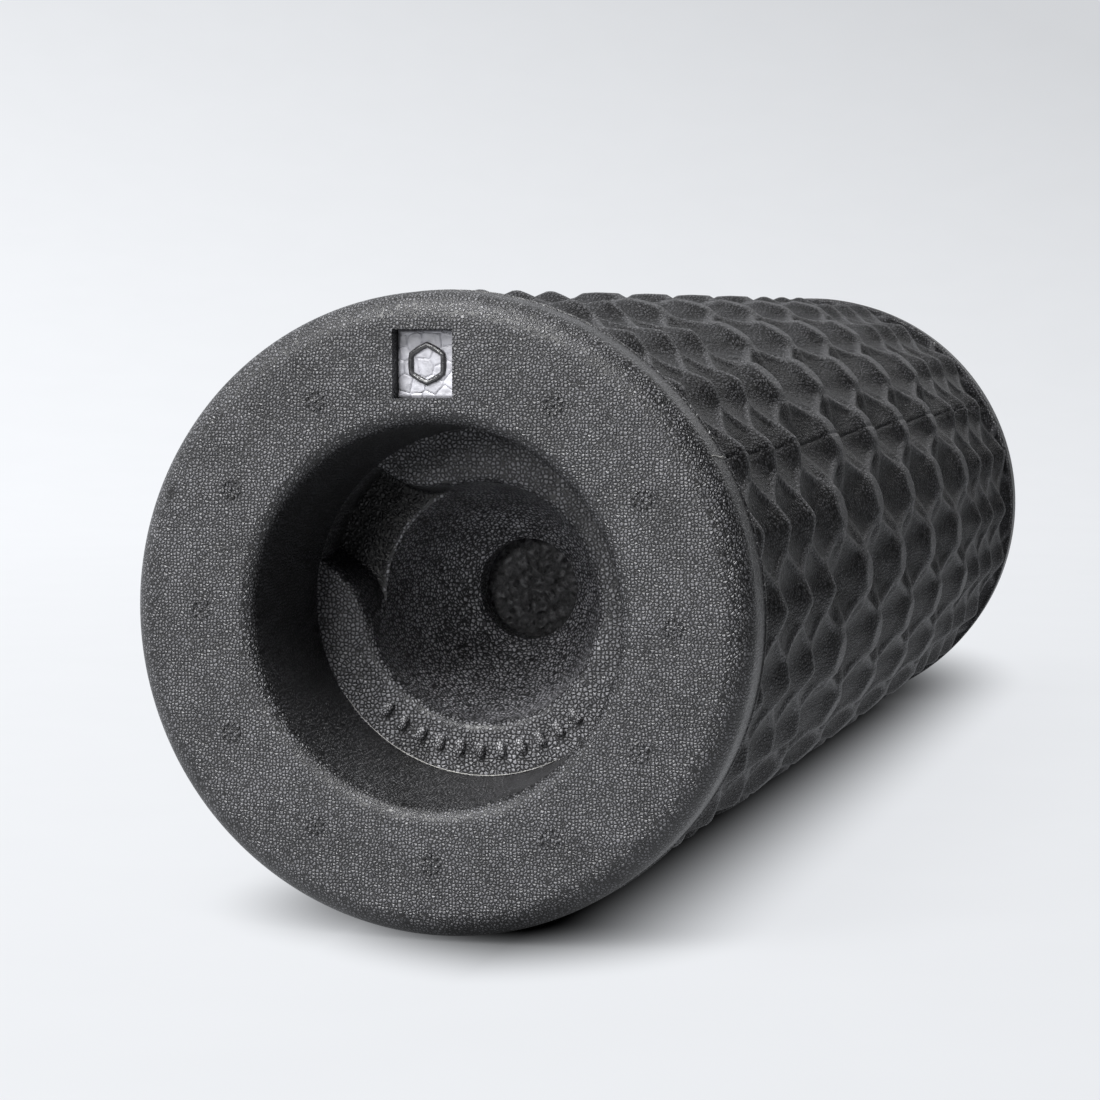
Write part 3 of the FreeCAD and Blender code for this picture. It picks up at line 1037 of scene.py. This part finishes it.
def area_light(name, place, target, size, power):
    """A rectangular lamp that faces its target. The power is in watts."""
    lamp = bpy.data.lights.new(name, "AREA")
    lamp.shape = "RECTANGLE"
    lamp.size, lamp.size_y = size
    lamp.energy = power
    holder = bpy.data.objects.new(name, lamp)
    holder.location = place
    holder.rotation_euler = (Vector(target) - Vector(place)).to_track_quat("-Z", "Y").to_euler()
    bpy.context.scene.collection.objects.link(holder)


def lights():
    front_face = (0, -0.19, 0.06)
    area_light("key", (-0.28, -0.9, 1.3), (0, -0.1, 0.05), size=(0.9, 0.9), power=55.0)
    area_light("front", (-0.55, -1.12, 0.7), (0, -0.19, 0.05), size=(0.3, 0.3), power=5.0)
    area_light("low_front", (-0.22, -1.25, 0.35), front_face, size=(0.2, 0.2), power=3.2)
    area_light("back", (0, 0.9, 1.4), (0, 0.05, 0.06), size=(1.3, 0.7), power=2.0)
    area_light("rear", (0.5, 1.5, 0.8), (0, 0.19, 0.06), size=(0.7, 0.7), power=2.0)
    world = bpy.data.worlds.new("studio")
    bpy.context.scene.world = world
    world.use_nodes = True
    background = world.node_tree.nodes["Background"]
    background.inputs["Color"].default_value = (0.86, 0.93, 1.0, 1)
    background.inputs["Strength"].default_value = 0.02


def camera():
    """The camera stands in front and to the right, at the height of the roller's top."""
    forward = Vector((-0.2803, 0.9566, -0.0795))
    lens = bpy.data.cameras.new("camera")
    lens.lens = 97.03
    lens.sensor_width = 36.0
    holder = bpy.data.objects.new("camera", lens)
    holder.location = (0.1856, -0.7453, 0.1248)
    holder.rotation_euler = forward.to_track_quat("-Z", "Y").to_euler()
    bpy.context.scene.collection.objects.link(holder)
    bpy.context.scene.camera = holder
    bpy.context.scene.view_settings.view_transform = "Standard"


# --- assembly ---------------------------------------------------------------------------------------

def fit(piece, material, slot, *nodes):
    """Gives a piece its material and ties it to the frame."""
    piece.data.materials.clear()
    piece.data.materials.append(material)
    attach(piece, "root")
    if nodes:
        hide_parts(*nodes)


def build():
    relief_foam = foam("relief_foam", (0.027, 0.027, 0.0295), bead_mm=0.85, depth_mm=0.24,
                       painted_sheen=(0.085, 0.085, 0.09), rough=(0.45, 0.6), shine=0.25)
    face_foam = foam("face_foam", (0.058, 0.058, 0.0625), bead_mm=0.7, depth_mm=0.17,
                     painted_sheen=(0.055, 0.055, 0.058))
    recess_foam = foam("recess_foam", (0.125, 0.125, 0.133), bead_mm=0.86, depth_mm=0.2,
                       rough=(0.28, 0.42))
    # the ticks' paler foam is a painted highlight
    tick_foam = foam("tick_foam", (0.2, 0.2, 0.21), bead_mm=0.6, depth_mm=0.06, rough=(0.2, 0.34))
    pale = flash_pale()

    relief = make_relief()
    for name, first_step in (("upper_shell", 0), ("lower_shell", ANGLE_STEPS // 2)):
        shell = half_shell(name + "_relief", relief, first_step)
        fit(shell, relief_foam, "relief_foam", name)

    for end, side in (("front", -1), ("rear", 1)):
        cap = end_cap(end + "_cap_ring", side)
        angles = [VENT_FIRST_ANGLE + 360.0 / VENT_MARKS * index for index in range(VENT_MARKS)]
        if end == "front":
            cut_badge_pocket(cap)
            angles.remove(min(angles, key=lambda angle: abs(angle - BADGE_ANGLE)))
        fit(cap, face_foam, "smooth_foam", end + "_end_cap")
        bowl = cup(end + "_cup_bowl", side)
        fit(bowl, recess_foam, "recess_foam", end + "_cup")
        fit(vent_marks(end + "_vent_marks", side, angles), face_foam, "smooth_foam")

    middle = core()
    fit(middle, cut_foam(), "cut_foam", "foam_core")
    fit(ledge_ticks(), tick_foam, "recess_foam")
    fit(ledge_flash(), pale, "recess_foam")
    tile = badge_tile()
    fit(tile, badge_foam(), "badge_foam", "front_badge")
    fit(badge_mark(), mark_gloss(), "badge_foam")
    fit(seam_fleck(), pale, "smooth_foam")


build()
cove()
lights()
camera()
